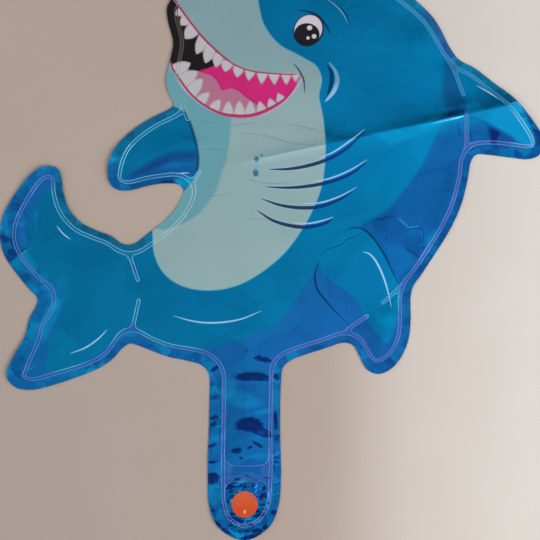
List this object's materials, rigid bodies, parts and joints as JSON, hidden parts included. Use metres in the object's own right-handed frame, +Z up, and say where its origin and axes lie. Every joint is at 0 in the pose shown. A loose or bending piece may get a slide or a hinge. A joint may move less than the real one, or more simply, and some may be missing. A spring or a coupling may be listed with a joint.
{
  "type": "shark-shaped foil balloon",
  "caption": "Flat, unfilled foil balloon in the shape of a shark, with a long filling neck, welded seam and round valve label.",
  "frame": {"origin": "centre of the balloon's bounding box in plan, on the surface it lies on (lowest plane of the back film)", "axes": "+Z up, away from the floor and out of the printed front; +Y from the filling neck towards the top of the shark's head; +X towards the fin on its back"},
  "size_m": [0.6251, 0.7027, 0.0082],
  "materials": {
    "printed_film": "printed metallised film, glossy, crumpled, teal and blue with a pale grey-green belly",
    "back_film": "plain metallic blue film, glossy, softly creased",
    "weld": "pressed, pale and glossy",
    "label": "matt orange ink"
  },
  "bodies": {
    "root": {"back_film_tail": "back_film", "back_film_far_flipper": "back_film", "back_film_near_flipper": "back_film", "back_film_dorsal_fin": "back_film", "back_film_neck": "back_film", "back_film_body": "back_film", "front_film_tail": "printed_film", "front_film_far_flipper": "printed_film", "front_film_near_flipper": "printed_film", "front_film_dorsal_fin": "printed_film", "front_film_neck": "printed_film", "front_film_body": "printed_film", "perimeter_weld": "weld", "weld_bar_tail_upper": "weld", "weld_bar_tail_lower": "weld", "weld_bar_dorsal_upper": "weld", "weld_bar_dorsal_lower": "weld", "weld_bar_near_flipper_right": "weld", "weld_bar_near_flipper_left": "weld", "weld_bar_far_flipper_upper": "weld", "weld_bar_far_flipper_lower": "weld", "neck_cross_weld": "weld", "valve_label": "label"}
  },
  "joints": []
}
